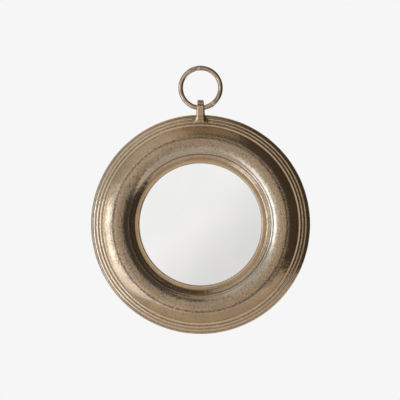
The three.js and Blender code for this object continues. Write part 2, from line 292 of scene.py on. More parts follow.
# The skin of sand-cast metal: rounded grain with dark low places and rubbed high ones.
def makeCastGrain():
    fineness, mottling, fade = 2.7, 0.55, 0.07
    group, given, made = newGroup(
        "castGrain", {"Grain": 400.0, "Pits": 0.44, "Tips": 0.56},
        ("Height", "Pitting", "Rubbed", "Mottle"))
    coarse = objectNoise(group, given["Grain"], 2.0, 0.5)
    fine = objectNoise(group, times(group, given["Grain"], fineness), 2.0, 0.6)
    height = calc(group, "MULTIPLY_ADD", fine, 0.5, times(group, coarse, 0.5))
    feed(group, made["Height"], height)
    bottom = calc(group, "SUBTRACT", given["Pits"], fade)
    feed(group, made["Pitting"], ranged(group, height, bottom, given["Pits"], 1.0, 0.0))
    top = calc(group, "ADD", given["Tips"], fade)
    feed(group, made["Rubbed"], ranged(group, height, given["Tips"], top))
    mottle = objectNoise(group, times(group, given["Grain"], mottling), 3.0, 0.7)
    feed(group, made["Mottle"], ranged(group, mottle, 0.3, 0.7))
    return group


# Where handling has brightened the edges, and where painted shade with old polish darkens the recesses.
def makeWearAndShade():
    patchScale, least = 260.0, 0.01
    group, given, made = newGroup(
        "wearAndShade", {"Edge": 0.12, "Recess": 0.12, "Breakup": 0.5}, ("Worn", "Shaded"))
    depth = put(group, "Attribute", attribute_name="cavity").outputs["Fac"]
    patchy = ranged(group, objectNoise(group, patchScale), 0.3, 0.7)
    keep = calc(group, "SUBTRACT", 1.0, times(group, given["Breakup"], patchy))
    worn = ranged(group, times(group, depth, -1.0), least, given["Edge"])
    feed(group, made["Worn"], times(group, worn, keep))
    # painted shade: the recesses darken by their depth
    dirtAndShade = ranged(group, depth, least, given["Recess"])
    feed(group, made["Shaded"], times(group, dirtAndShade, keep))
    return group


# Slow drifts of tone over the whole piece, as lacquer and tarnish leave.
def makeTarnish():
    driftShare = 0.6
    group, given, made = newGroup("tarnish", {"Drift": 13.0, "Cloud": 70.0}, ("Amount",))
    drift = objectNoise(group, given["Drift"], 2.0, 0.5)
    cloud = objectNoise(group, given["Cloud"], 4.0, 0.6)
    mixed = calc(group, "MULTIPLY_ADD", drift, driftShare, times(group, cloud, 1.0 - driftShare))
    feed(group, made["Amount"], ranged(group, mixed, 0.35, 0.65))
    return group


castGrain = makeCastGrain()
wearAndShade = makeWearAndShade()
tarnish = makeTarnish()
print("shader groups ready")


def newMaterial(name):
    material = bpy.data.materials.new(name)
    material.use_nodes = True
    tree = material.node_tree
    return material, tree, tree.nodes["Principled BSDF"]


def surfaced(tree, shader, colour, roughness, metallic=0.0):
    feed(tree, shader.inputs["Base Color"], colour)
    feed(tree, shader.inputs["Roughness"], roughness)
    shader.inputs["Metallic"].default_value = metallic


def bumped(tree, shader, height, distance):
    bump = put(tree, "Bump", {"Height": height, "Distance": distance, "Strength": 1.0})
    feed(tree, shader.inputs["Normal"], bump.outputs[0])


def coated(shader, roughness):
    shader.inputs["Coat Weight"].default_value = 1.0
    shader.inputs["Coat Roughness"].default_value = roughness


def toned(tree, look, *layers):
    # tarnish between two tones, with further tones of the look laid over it by their amounts
    amount = placed(tree, tarnish, **look["tarnish"])["Amount"]
    colour = blended(tree, amount, look["dark"], look["light"])
    for amount, tone in layers:
        colour = blended(tree, amount, colour, look[tone])
    return colour


def mottled(tree, grain, roughness):
    return ranged(tree, grain["Mottle"], 0.0, 1.0, *roughness, "LINEAR")


castBrassLook = {
    "grain": {"Grain": 390.0, "Pits": 0.465, "Tips": 0.55},
    "wear": {"Edge": 0.12, "Recess": 0.24, "Breakup": 0.35},
    "tarnish": {"Drift": 12.0, "Cloud": 64.0},
    "dark": (0.32, 0.197, 0.092, 1),
    "light": (0.45, 0.29, 0.143, 1),
    # the ovolo is kept polished and carries a painted sheen, so it is paler between these radii, in
    # metres
    "polishAndSheenInner": (0.090, 0.097),
    "polishAndSheenOuter": (0.104, 0.112),
    "polishAndSheenShare": 0.8,
    "pale": (0.44, 0.34, 0.232, 1),
    # the roughest sand grain lies in a band between these radii, in metres
    "bandInner": (0.100, 0.107),
    "bandOuter": (0.119, 0.127),
    # how far the band wanders in and out, in metres, and how often
    "bandDrift": 0.014,
    "bandDriftScale": 34.0,
    # each share has its value outside the band, and what the band adds to it
    "rubbedShare": (0.12, 0.2),
    "pittedShare": (0.25, 0.6),
    "reliefShare": (0.26, 0.74),
    "grainHeight": 0.0007,
    "bandDirt": 0.26,
    # the quirk and the valleys between the reeds are darkened by painted shade with old wax: radius and
    # half width in metres, and how much is left
    "waxAndShadeLines": (
        (0.1196, 0.0019, 1.0), (0.1386, 0.0016, 1.0), (0.1430, 0.0011, 0.5),
        (0.1477, 0.0015, 0.9)),
    "waxAndShadeCore": 0.45,
    # painted shade with wax on the lug round the place that the ring rubs: level, half height and
    # amount
    "lugWaxAndShade": ((0.1636, 0.0024, 1.0), (0.1698, 0.0028, 1.0)),
    "lugWaxAndShadeCore": 0.4,
    # where the painted shade and wax start and are full in the noise, and how much is left at each
    "waxAndShadePatches": (0.38, 0.6, 0.25, 1.0),
    "waxAndShadePatchScale": 420.0,
    # the dark colour of the painted shade, wax and dirt
    "recess": (0.085, 0.052, 0.028, 1),
    "recessShare": 0.78,
    "recessRoughness": 0.2,
    "pit": (0.055, 0.033, 0.018, 1),
    "worn": (0.70, 0.56, 0.40, 1),
    "wornShare": 0.5,
    "roughness": (0.10, 0.18),
    "coatRoughness": 0.12,
}


def bandShare(tree, band, share):
    outside, added = share
    return calc(tree, "MULTIPLY_ADD", band, added, outside)


def waxAndShade(tree, place, lines, core, patches):
    # painted shade and wax lie full over the core of each line and thin out to its half width
    wax = 0.0
    for middle, half, amount in lines:
        away = calc(tree, "ABSOLUTE", calc(tree, "SUBTRACT", place, middle))
        left = ranged(tree, away, half * core, half, amount, 0.0)
        wax = largest(tree, wax, times(tree, left, patches))
    return wax


def castBrassMaterial():
    look = castBrassLook
    material, tree, shader = newMaterial("castBrass")
    grain = placed(tree, castGrain, **look["grain"])
    wear = placed(tree, wearAndShade, **look["wear"])
    where = objectAxes(tree)
    radius = hypotenuse(tree, where["X"], where["Z"])
    # painted sheen with polish: the ovolo band is paler
    polishAndSheen = between(tree, radius, look["polishAndSheenInner"], look["polishAndSheenOuter"])
    drift = calc(tree, "SUBTRACT", objectNoise(tree, look["bandDriftScale"], 2.0), 0.5)
    wandering = calc(tree, "MULTIPLY_ADD", drift, look["bandDrift"], radius)
    band = between(tree, wandering, look["bandInner"], look["bandOuter"])
    rubbed = times(tree, grain["Rubbed"], bandShare(tree, band, look["rubbedShare"]))
    pitted = times(tree, grain["Pitting"], bandShare(tree, band, look["pittedShare"]))
    patches = ranged(tree, objectNoise(tree, look["waxAndShadePatchScale"]), *look["waxAndShadePatches"])
    # painted shade with wax and dirt: the recesses, the rough band, the quirk, the reed valleys and the
    # lug bands
    dirtAndShade = largest(
        tree, wear["Shaded"], times(tree, band, look["bandDirt"]),
        waxAndShade(tree, radius, look["waxAndShadeLines"], look["waxAndShadeCore"], patches),
        waxAndShade(tree, where["Z"], look["lugWaxAndShade"], look["lugWaxAndShadeCore"], patches))
    colour = toned(
        tree, look, (times(tree, polishAndSheen, look["polishAndSheenShare"]), "pale"), (rubbed, "worn"),
        (pitted, "pit"), (times(tree, dirtAndShade, look["recessShare"]), "recess"),
        (times(tree, wear["Worn"], look["wornShare"]), "worn"))
    rough = mottled(tree, grain, look["roughness"])
    rough = calc(tree, "MULTIPLY_ADD", dirtAndShade, look["recessRoughness"], rough)
    surfaced(tree, shader, colour, rough, 1.0)
    coated(shader, look["coatRoughness"])
    relief = times(tree, grain["Height"], bandShare(tree, band, look["reliefShare"]))
    bumped(tree, shader, relief, look["grainHeight"])
    return material


ringBrassLook = {
    "grain": {"Grain": 620.0, "Pits": 0.42},
    "grainHeight": 0.00003,
    "tarnish": {"Drift": 40.0, "Cloud": 180.0},
    "dark": (0.30, 0.215, 0.15, 1),
    "light": (0.50, 0.395, 0.30, 1),
    # bright streaks where the ring was brazed
    "scar": (0.80, 0.73, 0.65, 1),
    "scarRoughness": 0.15,
    "streakScale": 330.0,
    "streaks": (0.47, 0.56),
    "pit": (0.07, 0.05, 0.033, 1),
    "pitShare": 0.5,
    "roughness": (0.07, 0.15),
}


def ringBrassMaterial():
    look = ringBrassLook
    material, tree, shader = newMaterial("ringBrass")
    grain = placed(tree, castGrain, **look["grain"])
    scar = put(tree, "Attribute", attribute_name="braze").outputs["Fac"]
    streak = ranged(tree, objectNoise(tree, look["streakScale"], 3.0, 0.6), *look["streaks"])
    pitted = times(tree, grain["Pitting"], look["pitShare"])
    colour = toned(tree, look, (times(tree, scar, streak), "scar"), (pitted, "pit"))
    rough = mottled(tree, grain, look["roughness"])
    rough = calc(tree, "MULTIPLY_ADD", scar, look["scarRoughness"], rough)
    surfaced(tree, shader, colour, rough, 1.0)
    bumped(tree, shader, grain["Height"], look["grainHeight"])
    return material


silveredGlassLook = {
    "tarnish": {"Drift": 9.0, "Cloud": 30.0},
    "dark": (0.93, 0.935, 0.935, 1),
    "light": (0.97, 0.973, 0.973, 1),
    # where dust starts and is full in the noise, and the roughness at each
    "dust": (0.35, 0.75, 0.012, 0.035),
    "dustScale": 45.0,
    "coatRoughness": 0.02,
}


def silveredGlassMaterial():
    look = silveredGlassLook
    material, tree, shader = newMaterial("silveredGlass")
    dust = ranged(tree, objectNoise(tree, look["dustScale"], 5.0, 0.7), *look["dust"])
    surfaced(tree, shader, toned(tree, look), dust, 1.0)
    coated(shader, look["coatRoughness"])
    return material


dullLooks = {
    "backingPaint": {
        "dark": (0.10, 0.085, 0.07, 1),
        "light": (0.17, 0.145, 0.12, 1),
        # brush marks: size, detail, roughness and stretch of the noise
        "fibres": (120.0, 4.0, 0.6, (1.0, 1.0, 0.15)),
        "relief": 0.0001,
        "roughness": 0.6,
        "sheen": 0.0,
    },
    "greyFelt": {
        "dark": (0.045, 0.04, 0.037, 1),
        "light": (0.12, 0.11, 0.10, 1),
        "fibres": (900.0, 4.0, 0.7),
        "relief": 0.0003,
        "roughness": 0.95,
        "sheen": 0.3,
    },
}


def dullMaterial(name):
    look = dullLooks[name]
    material, tree, shader = newMaterial(name)
    fibres = objectNoise(tree, *look["fibres"])
    colour = blended(tree, ranged(tree, fibres, 0.3, 0.7), look["dark"], look["light"])
    surfaced(tree, shader, colour, look["roughness"])
    shader.inputs["Sheen Weight"].default_value = look["sheen"]
    bumped(tree, shader, fibres, look["relief"])
    return material


steelLooks = {
    "springSteel": {
        "dark": (0.26, 0.26, 0.27, 1),
        "light": (0.44, 0.44, 0.45, 1),
        "grain": {"Grain": 700.0, "Pits": 0.4},
        "roughness": (0.25, 0.42),
    },
    "zincSteel": {
        "dark": (0.42, 0.40, 0.33, 1),
        "light": (0.62, 0.60, 0.54, 1),
        "grain": {"Grain": 900.0, "Pits": 0.4},
        "roughness": (0.18, 0.34),
    },
    "both": {
        "tarnish": {"Drift": 90.0, "Cloud": 400.0},
        "pit": (0.12, 0.10, 0.08, 1),
        "pitShare": 0.4,
        "grainHeight": 0.00003,
    },
}


def steelMaterial(name):
    look = {**steelLooks["both"], **steelLooks[name]}
    material, tree, shader = newMaterial(name)
    grain = placed(tree, castGrain, **look["grain"])
    pitted = times(tree, grain["Pitting"], look["pitShare"])
    colour = toned(tree, look, (pitted, "pit"))
    surfaced(tree, shader, colour, mottled(tree, grain, look["roughness"]), 1.0)
    bumped(tree, shader, grain["Height"], look["grainHeight"])
    return material


brownBoardLook = {
    "tarnish": {"Drift": 9.0, "Cloud": 55.0},
    "dark": (0.115, 0.062, 0.030, 1),
    "light": (0.27, 0.165, 0.088, 1),
    "feltedScale": 240.0,
    "felted": (0.35, 0.68, 0.0, 0.55),
    # straws lie along and across the board: stretch of the noise, and where a straw starts and is full
    "straws": (((0.25, 1.0, 1.0), (0.64, 0.70)), ((1.0, 1.0, 0.25), (0.66, 0.72))),
    "strawScale": 420.0,
    "fleck": (0.42, 0.29, 0.17, 1),
    "fleckShare": 0.6,
    "fleckHeight": 0.4,
    "relief": 0.00015,
    "roughness": (0.5, 0.8),
}


def brownBoardMaterial():
    look = brownBoardLook
    material, tree, shader = newMaterial("brownBoard")
    felted = objectNoise(tree, look["feltedScale"], 6.0, 0.75)
    flecks = largest(tree, *(
        ranged(tree, objectNoise(tree, look["strawScale"], 2.0, 0.5, stretch), *limits)
        for stretch, limits in look["straws"]))
    pale = ranged(tree, felted, *look["felted"])
    colour = toned(
        tree, look, (pale, "light"), (times(tree, flecks, look["fleckShare"]), "fleck"))
    surfaced(tree, shader, colour, ranged(tree, felted, 0.3, 0.7, *look["roughness"]))
    height = calc(tree, "MULTIPLY_ADD", flecks, look["fleckHeight"], felted)
    bumped(tree, shader, height, look["relief"])
    return material


castBrass = castBrassMaterial()
ringBrass = ringBrassMaterial()
silveredGlass = silveredGlassMaterial()
backingPaint = dullMaterial("backingPaint")
greyFelt = dullMaterial("greyFelt")
springSteel = steelMaterial("springSteel")
zincSteel = steelMaterial("zincSteel")
brownBoard = brownBoardMaterial()
print("materials ready")


moulding = {
    "rimRadius": 150.0,
    "rimWallHeight": 13.0,
    # each roll: width, fall towards the rim, and crown above its slope
    "rolls": [(4.3, 1.03, 0.85), (4.5, 1.5, 0.8), (4.4, 1.7, 0.75), (2.8, 2.6, 0.5)],
    # the flank's width, and its tilt in degrees at the top and at the foot
    "flank": 13.6,
    "flankTilts": (17.0, 32.5),
    # width and rise of each step from the flank up to the crest
    "quirk": (1.2, 0.1),
    "shoulder": (2.3, 0.66),
    "crest": (4.2, 0.39),
    # width and drop of each step from the crest in to the sight band
    "ovolo": (16.8, 10.65),
    "ledge": (4.4, 1.78),
    "sightStep": (1.6, 0.92),
    "sightBand": 5.7,
    "sightRadius": 84.2,
    "sightEdgeRound": 0.9,
    "sightLip": 2.4,
    # points on each curve as it is drawn, before the line is spaced evenly and softened
    "drawn": {"roll": 40, "flank": 60, "crest": 30, "ovolo": 120, "sightEdge": 12},
    "spacing": 0.08,
    "softening": 0.38,
    "facePoints": 124,
    "bendWeight": 1.6,
    # columns round the mirror, and in the sector (half of it in degrees) that carries the lug
    "columns": 470,
    "lugColumns": 64,
    "lugSector": 6.0,
}


def faceOutline():
    # the face from the wall, round the rim and in to the edge of the glass, finely drawn
    m = moulding
    drawn = m["drawn"]
    radius, height = m["rimRadius"], m["rimWallHeight"]
    line = [(radius, 0.0), (radius, height)]
    for width, fall, crown in reversed(m["rolls"]):
        line += [
            (radius - width * t, height + fall * t + 4 * crown * t * (1 - t))
            for t in np.linspace(0, 1, drawn["roll"])]
        radius, height = radius - width, height + fall
    top, foot = (math.tan(math.radians(tilt)) for tilt in m["flankTilts"])
    width = m["flank"]
    line += [
        (radius - width * t, height + width * (top * t + (foot - top) * (t - t ** 3 / 3)))
        for t in np.linspace(0, 1, drawn["flank"])]
    radius, height = line[-1]
    for key in ("quirk", "shoulder"):
        width, rise = m[key]
        radius, height = radius - width, height + rise
        line.append((radius, height))
    width, rise = m["crest"]
    line += [
        (radius - width * t, height + rise * (2 * t - t * t))
        for t in np.linspace(0, 1, drawn["crest"])]
    crest, height = radius - width, height + rise
    width, drop = m["ovolo"]
    line += [
        (crest - width * math.sin(t), height - drop * (1 - math.cos(t)))
        for t in np.linspace(0, math.pi / 2, drawn["ovolo"])]
    radius, height = crest - width, height - drop
    ovoloFoot = height
    for key in ("ledge", "sightStep"):
        width, drop = m[key]
        radius, height = radius - width, height - drop
        line.append((radius, height))
    sight, rounding = m["sightRadius"], m["sightEdgeRound"]
    line += [
        (sight + rounding * (1 - math.sin(t)), height - rounding * (1 - math.cos(t)))
        for t in np.linspace(0, math.pi / 2, drawn["sightEdge"])]
    lipBack = height - m["sightLip"]
    line.append((sight, lipBack))
    return np.array(line), ovoloFoot, lipBack


def evenly(line, spacing):
    run = np.concatenate(([0], np.cumsum(np.linalg.norm(np.diff(line, axis=0), axis=1))))
    keep = np.concatenate(([True], np.diff(run) > 1e-9))
    at = np.linspace(0, run[-1], int(run[-1] / spacing))
    return np.column_stack([np.interp(at, run[keep], line[keep, axis]) for axis in (0, 1)])


def softened(line, spacing, width):
    # rounds the corners as a casting has them, with the two ends held
    reach = int(3 * width / spacing)
    bell = np.exp(-0.5 * (np.arange(-reach, reach + 1) * spacing / width) ** 2)
    bell /= bell.sum()
    padded = np.concatenate((
        2 * line[0] - line[reach:0:-1], line, 2 * line[-1] - line[-2:-reach - 2:-1]))
    return np.column_stack([np.convolve(padded[:, axis], bell, "valid") for axis in (0, 1)])


def thinned(line, count, bendWeight):
    # keeps more points where the line bends
    steps = np.linalg.norm(np.diff(line, axis=0), axis=1)
    heading = np.unwrap(np.arctan2(*np.diff(line, axis=0).T[::-1]))
    turning = np.abs(np.gradient(heading))
    worth = np.concatenate(([0], np.cumsum(steps + bendWeight * turning)))
    at = np.linspace(0, worth[-1], count)
    return np.column_stack([np.interp(at, worth, line[:, axis]) for axis in (0, 1)])


hollowBack = {
    "castWall": 3.5,
    "ovoloPoints": 14,
    # the seat of the glass: its radius, its wider mouth, and where its back and roof lie
    "seatRadius": 89.0,
    "seatMouth": 92.0,
    "seatBack": 7.54,
    "seatRoof": 12.99,
    "seatRoofEdge": 99.9,
    # the underside of the shoulder, the flank and the reeds
    "underside": [(119.4, 23.64), (125.8, 21.05), (131.85, 16.84), (132.8, 15.3), (145.5, 10.4)],
    # the rebate of the back board: inner and outer radius, and depth
    "rebate": (145.5, 147.0, 3.3),
}


def backOutline(ovoloFoot, lipBack):
    # the hollow back: glass seat, underside of the mouldings and ledge of the board
    m, back = moulding, hollowBack
    wall, roof = back["castWall"], back["seatRoof"]
    inner = m["sightRadius"] + m["sightBand"] + m["sightStep"][0] + m["ledge"][0]
    width, rise = m["ovolo"]
    underOvolo = []
    for t in np.linspace(math.pi / 2, 0, back["ovoloPoints"]):
        out = Vector((-rise * math.sin(t), width * math.cos(t))).normalized()
        underOvolo.append((
            inner + width * (1 - math.sin(t)) - out.x * wall,
            ovoloFoot + rise * math.cos(t) - out.y * wall))
    ledge, rebate, depth = back["rebate"]
    return [
        (back["seatRadius"], lipBack), (back["seatRadius"], back["seatBack"]),
        (back["seatMouth"], back["seatBack"]), (back["seatMouth"], roof), (back["seatRoofEdge"], roof),
        *underOvolo, *back["underside"],
        (ledge, depth), (rebate, depth), (rebate, 0.0),
    ]


lug = {
    "wireLevel": 159.5,
    "wireHeight": 13.6,
    "wireRadius": 3.25,
    "eyeRadius": 4.55,
    # the eye is a slot whose two ends are round: levels of their middles
    "slot": (159.96, 162.06),
    "strapFront": 22.15,
    "strapThickness": 4.0,
    "loopSections": 25,
    "faceWidth": 7.8,
    "topWidth": 8.6,
    "neckWidth": 10.8,
    "baseWidth": 11.8,
    "bevel": 1.6,
    # the foot flares into the reeds: level, width, drop below the face, bevel
    "foot": [
        (137.75, 25.0, 2.2, 0.9), (139.3, 21.0, 1.6, 1.2), (141.4, 15.5, 0.9, 1.4),
        (144.5, 13.2, 0.2, 1.7), (147.2, 12.4, 0.0, 1.7)],
    "midWall": 13.85,
    # how far the loop's back end and the web sink into the rim
    "sink": 1.5,
    # the web fills the loop below the eye: its side inset, and where it widens and ends
    "webInset": 0.4,
    "webShoulder": 2.0,
    "webTop": 1.0,
    # the groove that the ring has rubbed across the loop: level, half height, depth
    "groove": (163.8, 1.7, 0.6),
    "voxel": 0.5,
    "soften": 3,
}


def lugWidth(level):
    loop = lug["eyeRadius"] + lug["strapThickness"]
    levels = [row[0] for row in lug["foot"]]
    levels += [moulding["rimRadius"], lug["wireLevel"] - lug["wireRadius"], lug["slot"][1] + loop]
    widths = [row[1] for row in lug["foot"]] + [lug["baseWidth"], lug["neckWidth"], lug["topWidth"]]
    return float(np.interp(level, levels, widths))


def strapSection(level, height, outward, bevel, thickness):
    across, flat = lugWidth(level) / 2, lug["faceWidth"] / 2
    right = [(flat, 0), (across, bevel), (across, thickness)]
    corners = right + [(-x, depth) for x, depth in reversed(right)]
    return [(x, level - outward[0] * depth, height - outward[1] * depth) for x, depth in corners]


def lugStrap(root, neck):
    # the strap runs up the front, round the loop and down behind into the rim
    thick, front, wire = lug["strapThickness"], lug["strapFront"], lug["wireHeight"]
    top, loop = lug["slot"][1], lug["eyeRadius"] + thick
    sections = [
        strapSection(level, front - drop, (0, 1), bevel, front - drop - lug["midWall"])
        for level, _, drop, bevel in lug["foot"]]
    sections.append(strapSection(neck, front, (0, 1), lug["bevel"], thick))
    for turn in np.linspace(0, math.pi, lug["loopSections"]):
        outward = (math.sin(turn), math.cos(turn))
        sections.append(strapSection(
            top + outward[0] * loop, wire + outward[1] * loop, outward, lug["bevel"], thick))
    sections.append(strapSection(root, wire - loop, (0, -1), lug["bevel"], thick))
    return lofted("lugStrap", sections)


def lugWeb(root, neck):
    reach = lug["eyeRadius"] + lug["strapThickness"] / 2
    sections = []
    for level in (root, moulding["rimRadius"] + lug["webShoulder"], neck + lug["webTop"]):
        half = lugWidth(level) / 2 - lug["webInset"]
        corners = ((half, reach), (half, -reach), (-half, -reach), (-half, reach))
        sections.append([(x, level, lug["wireHeight"] + z) for x, z in corners])
    return lofted("lugWeb", sections)


def lugEye():
    eye, half = lug["eyeRadius"], 14.0
    low, high = lug["slot"]
    outline = []
    for middle, start in ((high, -math.pi / 2), (low, math.pi / 2)):
        outline += [
            (middle + eye * math.cos(t), lug["wireHeight"] + eye * math.sin(t))
            for t in np.linspace(start, start + math.pi, 16)]
    return lofted("lugEye", [[(x, y, z) for y, z in outline] for x in (-half, half)])


def lugBody():
    root = moulding["rimRadius"] - lug["sink"]
    neck = lug["wireLevel"] - lug["wireRadius"]
    body = combined(lugWeb(root, neck), lugEye(), "DIFFERENCE")
    combined(body, lugStrap(root, neck), "UNION")
    skin = body.modifiers.new("skin", "REMESH")
    skin.mode = "VOXEL"
    skin.voxel_size = lug["voxel"]
    applyModifiers(body)
    points = relaxed(body.data, places(body.data), lug["soften"])
    level, half, depth = lug["groove"]
    front = points[:, 2] > lug["wireHeight"] + lug["eyeRadius"]
    points[:, 2] -= depth * np.exp(-((points[:, 1] - level) / half) ** 2) * front
    move(body.data, points)
    return body


def castingAngles():
    # columns stand closer together where the lug grows out of the rim
    half = math.radians(moulding["lugSector"])
    near = np.linspace(-half, half, moulding["lugColumns"], endpoint=False)
    far = np.linspace(half, 2 * math.pi - half, moulding["columns"], endpoint=False)
    return np.concatenate((near, far)).tolist()


# posts in the hollow, bored from behind for the screws of the clips and of the board
posts = {
    "clip": {
        "count": 4, "circle": 95.0,
        "radius": 4.0, "span": (7.54, 13.99), "bore": 1.8, "boreSpan": (6.24, 13.24)},
    "board": {
        "count": 8, "circle": 142.0,
        "radius": 4.5, "span": (3.3, 14.6), "bore": 1.8, "boreSpan": (3.0, 12.3)},
}


def postCylinders(name, radiusKey, spanKey):
    points, faces, sides = [], [], 28
    for post in posts.values():
        radius = post[radiusKey]
        for _, x, y in aroundCircle(post["count"], post["circle"]):
            first = len(points)
            for height in post[spanKey]:
                points += [
                    (x + radius * math.cos(a), y + radius * math.sin(a), height)
                    for a in evenAngles(sides)]
            faces += [
                [first + j, first + (j + 1) % sides, first + sides + (j + 1) % sides, first + sides + j]
                for j in range(sides)]
            faces.append([first + j for j in reversed(range(sides))])
            faces.append([first + sides + j for j in range(sides)])
    return newPiece(name, points, faces)


# a small cast fillet where the lug meets the rim: middle and reach to the side and upwards
lugFillet = {
    "side": (6.4, 4.5),
    "level": (145.0, 10.0),
    "lowest": 4.0,
    "leastHollow": 0.01,
    "spreading": 6,
    "gain": 1.6,
    "share": 0.7,
    "rounds": 40,
}


def filletLug(mesh):
    f = lugFillet
    points = places(mesh)
    middle, reach = f["side"]
    corner = np.exp(-((np.abs(points[:, 0]) - middle) / reach) ** 2)
    middle, reach = f["level"]
    corner = corner * np.exp(-((points[:, 1] - middle) / reach) ** 2)
    corner = corner * (points[:, 2] > f["lowest"])
    corner = corner * (sunken(mesh, points, f["spreading"]) > f["leastHollow"])
    corner = evened(mesh, np.clip(corner, 0, 1), f["spreading"])
    share = f["share"] * np.clip(f["gain"] * corner, 0, 1)
    move(mesh, relaxed(mesh, points, f["rounds"], share))


castSkin = {
    # each layer: wavelength and height
    "layers": [(46.0, 0.16), (15.0, 0.08), (6.5, 0.07), (3.4, 0.06)],
    # the skin grows from nothing off the wall and off the glass: where it starts, over what length
    "fromWall": (3.0, 4.0),
    "fromGlass": (84.6, 1.5),
    # faces that look to the wall inside this radius have none
    "backTilt": -0.3,
    "backRadius": 149.0,
    "wearRounds": 14,
}


def skinShare(mesh):
    points = places(mesh)
    radius = np.hypot(points[:, 0], points[:, 1])
    share = 1.0
    for distance, limits in ((points[:, 2], "fromWall"), (radius, "fromGlass")):
        start, length = castSkin[limits]
        share = share * np.clip((distance - start) / length, 0, 1)
    back = (directions(mesh)[:, 2] < castSkin["backTilt"]) & (radius < castSkin["backRadius"])
    return np.where(back, 0, share)


def frameCasting():
    m = moulding
    face, ovoloFoot, lipBack = faceOutline()
    face = softened(evenly(face, m["spacing"]), m["spacing"], m["softening"])
    face = thinned(face, m["facePoints"], m["bendWeight"])
    profile = [tuple(p) for p in face] + backOutline(ovoloFoot, lipBack)
    casting = lathe("frameCastingSkin", profile, castingAngles())
    combined(casting, lugBody(), "UNION")
    combined(casting, postCylinders("bosses", "radius", "span"), "UNION")
    combined(casting, postCylinders("bores", "bore", "boreSpan"), "DIFFERENCE")
    mesh = casting.data
    filletLug(mesh)
    depth = sunken(mesh, places(mesh), castSkin["wearRounds"])
    store(mesh, "cavity", evened(mesh, depth, 2))
    roughSkin(mesh, castSkin["layers"], skinShare(mesh))
    return finished(casting, castBrass, "frame", ["frame_casting"], 40)


ring = {
    "radius": 27.2,
    "wire": 3.25,
    "level": 186.7,
    "height": 13.6,
    "turns": 260,
    "sides": 44,
    # the two brazed places: angle and spread in degrees, swelling, lumps and file nicks
    "braze": {"angle": 101.0, "spread": 15.0, "swell": 0.27, "lumps": 0.35, "nicks": 0.22},
    "mend": {"angle": -56.0, "spread": 10.0, "swell": 0.234, "lumps": 0.55, "nicks": 0.0},
    "scarShare": 0.55,
    "lumpSize": 1.7,
    "nickSpacing": 6.5,
    # the drawn bar is slightly uneven all round: wavelength and height
    "waves": ((7.0, 0.06), (2.3, 0.014)),
}


def brazedPlaces(turn):
    # swelling, lumps, nicks and scar at a place round the ring
    swell, lumps, nicks, scar = 0.0, 0.0, 0.0, 0.0
    for seam in (ring["braze"], ring["mend"]):
        away = (turn - seam["angle"] + 180) % 360 - 180
        tight = math.exp(-(away / (ring["scarShare"] * seam["spread"])) ** 2)
        swell += seam["swell"] * math.exp(-(away / seam["spread"]) ** 2)
        lumps += seam["lumps"] * tight
        nicks += seam["nicks"] * tight * max(0.0, math.cos(2 * math.pi * away / ring["nickSpacing"]))
        scar = max(scar, tight)
    return swell, lumps, nicks, scar


def hangingRing():
    turns, sides, wire = ring["turns"], ring["sides"], ring["wire"]
    points, scars, faces = [], [], []
    for i in range(turns):
        turn = 360 * i / turns
        centre = Vector((math.cos(math.radians(turn)), math.sin(math.radians(turn)), 0))
        swell, lumps, nicks, scar = brazedPlaces(turn)
        for around in evenAngles(sides):
            out = centre * math.cos(around) + Vector((0, 0, 1)) * math.sin(around)
            start = centre * ring["radius"] + out * wire
            rough = lumps * noise.noise(start / ring["lumpSize"])
            rough += sum(height * noise.noise(start / wave) for wave, height in ring["waves"])
            place = centre * ring["radius"] + out * (wire + swell + rough - nicks)
            points.append((place.x, place.y + ring["level"], place.z + ring["height"]))
            scars.append(scar)
    for i in range(turns):
        for j in range(sides):
            a, b = i * sides + j, i * sides + (j + 1) % sides
            c, d = ((i + 1) % turns) * sides + (j + 1) % sides, ((i + 1) % turns) * sides + j
            faces.append([a, d, c, b])
    piece = newPiece("hangingRingBar", points, faces)
    store(piece.data, "braze", scars)
    return finished(piece, ringBrass, "ring", ["hanging_ring"])


glass = {
    "radius": 88.6,
    "edgeFront": 10.59,
    "bulge": 8.0,
    "thickness": 3.0,
    # the ground edge has a small arris on each side
    "arris": 0.35,
    "rings": 40,
    "sides": 256,
}


def mirrorGlass():
    g = glass
    dome = (g["radius"] ** 2 + g["bulge"] ** 2) / (2 * g["bulge"])
    centre = g["edgeFront"] + g["bulge"] - dome
    reach = np.linspace(0, g["radius"] - g["arris"], g["rings"])
    inner = dome - g["thickness"]
    back = [(float(r), centre + math.sqrt(inner ** 2 - r * r)) for r in reach]
    front = [(float(r), centre + math.sqrt(dome ** 2 - r * r)) for r in reach[::-1]]
    edge = [(g["radius"], back[-1][1] + g["arris"]), (g["radius"], front[0][1] - g["arris"])]
    piece = lathe("mirrorGlassDome", back + edge + front, evenAngles(g["sides"]))
    finished(piece, silveredGlass, "frame", ["mirror_glass"], 25)
    piece.data.materials.append(backingPaint)
    for face in piece.data.polygons:
        if face.normal.y > 0.5:
            face.material_index = 1
    return piece


board = {
    "radius": 146.7,
    "thickness": 3.0,
    "edge": 0.35,
    "sides": 256,
    "inset": 60.0,
    # the countersunk hole, from behind the board to in front of it
    "hole": [(0, -1), (3.75, -1), (3.55, 0), (3.3, 0.25), (1.8, 1.85), (1.8, 4), (0, 4)],
    "holeSides": 40,
}


def backBoard():
    b = board
    rim, thick, edge, inset = b["radius"], b["thickness"], b["edge"], b["inset"]
    profile = [(0, 0.0), (inset, 0.0), (rim - edge, 0.0), (rim - edge * 0.3, edge * 0.3), (rim, edge)]
    profile += [(rim, thick - edge), (rim - edge, thick), (inset, thick), (0, thick)]
    piece = lathe("backBoardPanel", profile, evenAngles(b["sides"]))
    for _, x, y in aroundCircle(posts["board"]["count"], posts["board"]["circle"]):
        drill = lathe("drill", b["hole"], evenAngles(b["holeSides"]))
        drill.data.transform(Matrix.Translation((x, y, 0)))
        combined(piece, drill, "DIFFERENCE")
    return finished(piece, brownBoard, "frame", ["back_board"], 30)


